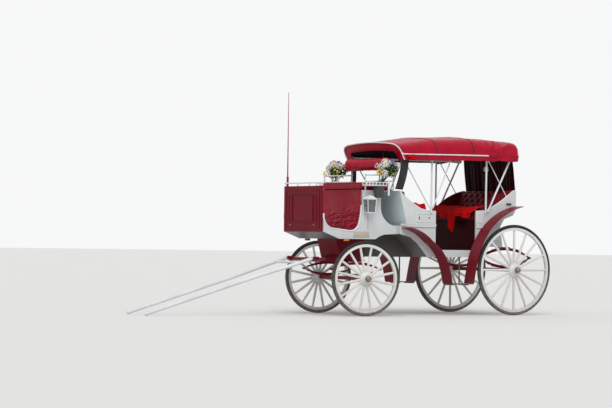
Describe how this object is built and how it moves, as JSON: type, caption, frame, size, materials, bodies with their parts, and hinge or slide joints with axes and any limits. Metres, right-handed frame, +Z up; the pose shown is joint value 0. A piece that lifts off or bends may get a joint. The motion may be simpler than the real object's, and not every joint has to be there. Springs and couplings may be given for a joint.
{
  "type": "horse-drawn carriage",
  "caption": "Open horse-drawn passenger carriage with facing seats, raised driver's seat, fixed canopy, elliptic springs, spoked wheels and hinged shafts.",
  "frame": {"origin": "on the ground under the middle of the carriage's whole length and width, shafts included", "axes": "+X forward towards the shaft tips, +Y to the carriage's left, +Z up"},
  "size_m": [5.4638, 1.588, 2.75],
  "materials": {
    "white_paint": "gloss white body paint",
    "maroon_paint": "gloss maroon paint",
    "dark_paint": "dark grey underbody paint",
    "red_vinyl": "crimson coated fabric",
    "maroon_vinyl": "dark maroon buttoned upholstery",
    "red_cloth": "bright red throw",
    "petals": "cloth flowers and leaves",
    "lamp_metal": "lantern frame with dark panes",
    "whip_red": "red rod",
    "wheel_paint": "off-white wheel paint",
    "tyre_rubber": "worn black solid rubber",
    "brass": "dull brass"
  },
  "bodies": {
    "carriage": {"lower_body": "white_paint", "spine": "dark_paint", "underframe": "maroon_paint", "boot": "white_paint", "footwell": "white_paint", "dash_panel": "maroon_paint", "dash_rail": "white_paint", "whip": "whip_red", "seat_apron": "red_vinyl", "seat_deck": "maroon_vinyl", "driver_cushion": "red_vinyl", "driver_backrest": "red_vinyl", "driver_seat_rail": "white_paint", "planters": "white_paint", "flowers": "petals", "lanterns": "lamp_metal", "front_tub": "white_paint", "rear_tub": "white_paint", "seat_boxes": "maroon_vinyl", "front_cushion": "maroon_vinyl", "rear_cushion": "maroon_vinyl", "front_back": "maroon_vinyl", "rear_back": "maroon_vinyl", "blankets": "red_cloth", "canopy": "red_vinyl", "canopy_frame": "white_paint", "rear_curtain": "maroon_vinyl", "front_fenders": "maroon_paint", "rear_fenders": "maroon_paint", "steps": "dark_paint", "rear_springs": "maroon_paint", "rear_axle": "maroon_paint"},
    "front_gear": {"turntable": "maroon_paint", "front_carriage": "maroon_paint", "splinter_bar": "maroon_paint", "front_springs": "maroon_paint", "front_axle": "maroon_paint"},
    "shafts": {"shafts": "white_paint"},
    "wheel_front_left": {"wheel_front_left": "wheel_paint", "tyre_front_left": "tyre_rubber", "hub_cap_front_left": "brass"},
    "wheel_front_right": {"wheel_front_right": "wheel_paint", "tyre_front_right": "tyre_rubber", "hub_cap_front_right": "brass"},
    "wheel_rear_left": {"wheel_rear_left": "wheel_paint", "tyre_rear_left": "tyre_rubber", "hub_cap_rear_left": "brass"},
    "wheel_rear_right": {"wheel_rear_right": "wheel_paint", "tyre_rear_right": "tyre_rubber", "hub_cap_rear_right": "brass"}
  },
  "joints": [
    {"name": "steering", "type": "hinge", "parent": "carriage", "child": "front_gear", "pos_m": [-0.00048, 0, 0.7], "axis": [0, 0, 1], "range_deg": [-32, 48]},
    {"name": "shaft_hinge", "type": "hinge", "parent": "front_gear", "child": "shafts", "pos_m": [0.55407, -0.07794, 0.7], "axis": [-0.1392, -0.9903, 0], "range_deg": [0, 60]},
    {"name": "front_left_spin", "type": "hinge", "parent": "front_gear", "child": "wheel_front_left", "pos_m": [0.09416, 0.67338, 0.457], "axis": [0.1392, 0.9903, 0], "continuous": true},
    {"name": "front_right_spin", "type": "hinge", "parent": "front_gear", "child": "wheel_front_right", "pos_m": [-0.09511, -0.67338, 0.457], "axis": [0.1392, 0.9903, 0], "continuous": true},
    {"name": "rear_left_spin", "type": "hinge", "parent": "carriage", "child": "wheel_rear_left", "pos_m": [-2.16048, 0.68, 0.5715], "axis": [0, 1, 0], "continuous": true},
    {"name": "rear_right_spin", "type": "hinge", "parent": "carriage", "child": "wheel_rear_right", "pos_m": [-2.16048, -0.68, 0.5715], "axis": [0, 1, 0], "continuous": true}
  ]
}
